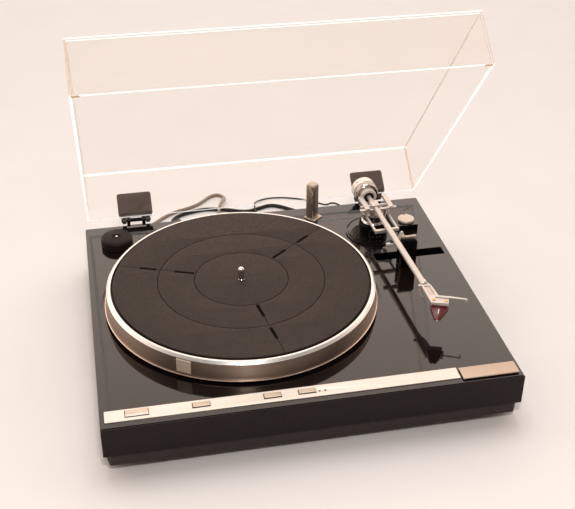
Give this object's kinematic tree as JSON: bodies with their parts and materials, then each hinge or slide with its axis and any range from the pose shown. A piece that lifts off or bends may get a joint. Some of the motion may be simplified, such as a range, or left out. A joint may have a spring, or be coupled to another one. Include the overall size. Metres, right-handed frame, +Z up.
{
  "type": "turntable record player",
  "caption": "Low plinth with a polished platter and rubber mat, straight tonearm, row of push buttons and a clear hinged dust cover standing open.",
  "frame": {"origin": "middle of the footprint of the player with its cover standing open, on the surface it stands on, leads not counted", "axes": "+X to the tonearm side (right), +Y to the back where the cover is hinged, +Z up"},
  "size_m": [0.43, 0.5297, 0.3707],
  "materials": {
    "deck_gloss": "gloss black",
    "pan_plastic": "matt black",
    "rubber": "matt",
    "cream_trim": "satin cream",
    "champagne": "satin champagne",
    "lamp_red": "dark red",
    "platter_alloy": "polished rim",
    "mat_rubber": "matt brown-grey",
    "polished_steel": "polished",
    "magnet": "plain",
    "brass": "plain",
    "board": "green",
    "iron": "plain",
    "clear_acrylic": "clear, warm tint",
    "bumper_tan": "soft tan",
    "hinge_brown": "dark brown",
    "black_plastic": "black",
    "arm_satin": "satin silver",
    "cartridge_grey": "grey",
    "guard_red": "translucent dark red",
    "weight_alloy": "satin with bright bands",
    "bronze_black": "dark bronze gloss",
    "cord_black": "satin",
    "cord_grey": "grey"
  },
  "bodies": {
    "plinth": {"deck": "deck_gloss", "case_frame": "deck_gloss", "base_pan": "pan_plastic", "foot_1": "rubber", "foot_2": "rubber", "foot_3": "rubber", "foot_4": "rubber", "control_strip": "cream_trim", "indicator_lamps": "lamp_red", "bearing": "brass", "stator": "brass", "circuit_board": "board", "transformer": "iron", "hinge_bracket_left": "black_plastic", "hinge_bracket_right": "black_plastic", "hinge_pins": "polished_steel", "arm_base": "deck_gloss", "arm_housing": "black_plastic", "rest_post": "black_plastic", "lift_cylinder": "arm_satin", "adaptor_pin": "polished_steel", "rear_post": "bronze_black", "mains_gland": "black_plastic", "mains_cord": "cord_black", "mains_coil": "cord_black", "mains_plug": "black_plastic", "signal_gland": "black_plastic", "signal_cord": "cord_grey", "signal_coil": "cord_grey", "signal_plugs": "polished_steel", "earth_wire": "cord_black", "earth_coil": "cord_black", "earth_tag": "brass"},
    "turntable": {"platter": "platter_alloy", "mat": "mat_rubber", "spindle": "polished_steel", "rotor_magnet": "magnet"},
    "cover": {"dust_cover": "clear_acrylic", "cover_bumpers": "bumper_tan", "hinge_plate_left": "hinge_brown", "hinge_plate_right": "hinge_brown"},
    "arm_yaw": {"turret": "polished_steel", "gimbal_yoke": "arm_satin"},
    "arm": {"arm_tube": "arm_satin", "headshell": "arm_satin", "finger_lift": "arm_satin", "cartridge": "cartridge_grey"},
    "weight_carrier": {"weight_bush": "brass"},
    "weight": {"counterweight": "weight_alloy", "weight_dial": "cream_trim"},
    "guard": {"stylus_guard": "guard_red"},
    "lever": {"cue_lever": "champagne"},
    "lifter": {"lifter_bar": "arm_satin"},
    "knob": {"antiskate_knob": "champagne"},
    "adaptor": {"ep_adaptor": "black_plastic"},
    "start_stop": {"start_stop_bar": "champagne"},
    "push_1": {"button_1": "champagne"},
    "push_2": {"button_2": "champagne"},
    "push_3": {"button_3": "champagne"},
    "push_4": {"button_4": "champagne"}
  },
  "joints": [
    {"name": "platter_spin", "type": "hinge", "parent": "plinth", "child": "turntable", "pos_m": [-0.047, -0.01912, 0.066], "axis": [0, 0, 1], "continuous": true},
    {"name": "cover_hinge", "type": "hinge", "parent": "plinth", "child": "cover", "pos_m": [0, 0.17138, 0.06], "axis": [-1, 0, 0], "range_deg": [-51, 0]},
    {"name": "arm_swing", "type": "hinge", "parent": "plinth", "child": "arm_yaw", "pos_m": [0.136, 0.08988, 0.07], "axis": [0, 0, -1], "range_deg": [0, 46]},
    {"name": "arm_lift", "type": "hinge", "parent": "arm_yaw", "child": "arm", "pos_m": [0.136, 0.08988, 0.095], "axis": [-0.9989, -0.0462, 0], "range_deg": [0, 8]},
    {"name": "weight_shift", "type": "slide", "parent": "arm", "child": "weight_carrier", "axis": [-0.0462, 0.9989, 0], "range_m": [-0.00152, 0.00152]},
    {"name": "weight_turn", "type": "hinge", "parent": "weight_carrier", "child": "weight", "pos_m": [0.136, 0.08988, 0.095], "axis": [-0.0462, 0.9989, 0], "range_deg": [-360, 360]},
    {"name": "guard_slide", "type": "slide", "parent": "arm", "child": "guard", "axis": [-0.3313, -0.9435, 0], "range_m": [0, 0.03]},
    {"name": "cue_turn", "type": "hinge", "parent": "plinth", "child": "lever", "pos_m": [0.156, 0.01088, 0.0966], "axis": [1, 0, 0], "range_deg": [-60, 0]},
    {"name": "lifter_slide", "type": "slide", "parent": "plinth", "child": "lifter", "axis": [0, 0, 1], "range_m": [-0.0029, 0]},
    {"name": "knob_turn", "type": "hinge", "parent": "plinth", "child": "knob", "pos_m": [0.1805, 0.09738, 0.066], "axis": [0, 0, 1], "range_deg": [0, 270]},
    {"name": "adaptor_lift", "type": "slide", "parent": "plinth", "child": "adaptor", "axis": [0, 0, 1], "range_m": [0, 0.06]},
    {"name": "start_stop_press", "type": "slide", "parent": "plinth", "child": "start_stop", "axis": [0, 0, -1], "range_m": [0, 0.001], "stiffness_N_per_m": 400, "springref_m": -0.001},
    {"name": "press_1", "type": "slide", "parent": "plinth", "child": "push_1", "axis": [0, 0, -1], "range_m": [0, 0.0015], "stiffness_N_per_m": 300, "springref_m": -0.001},
    {"name": "press_2", "type": "slide", "parent": "plinth", "child": "push_2", "axis": [0, 0, -1], "range_m": [0, 0.0015], "stiffness_N_per_m": 300, "springref_m": -0.001},
    {"name": "press_3", "type": "slide", "parent": "plinth", "child": "push_3", "axis": [0, 0, -1], "range_m": [0, 0.0015], "stiffness_N_per_m": 300, "springref_m": -0.001},
    {"name": "press_4", "type": "slide", "parent": "plinth", "child": "push_4", "axis": [0, 0, -1], "range_m": [0, 0.0015], "stiffness_N_per_m": 300, "springref_m": -0.001}
  ],
  "couplings": [
    {"joint": "weight_shift", "follows": "weight_turn", "m_per_rad": 0.00023873},
    {"joint": "cue_turn", "follows": "lifter_slide", "rad_per_m": 357.14}
  ]
}
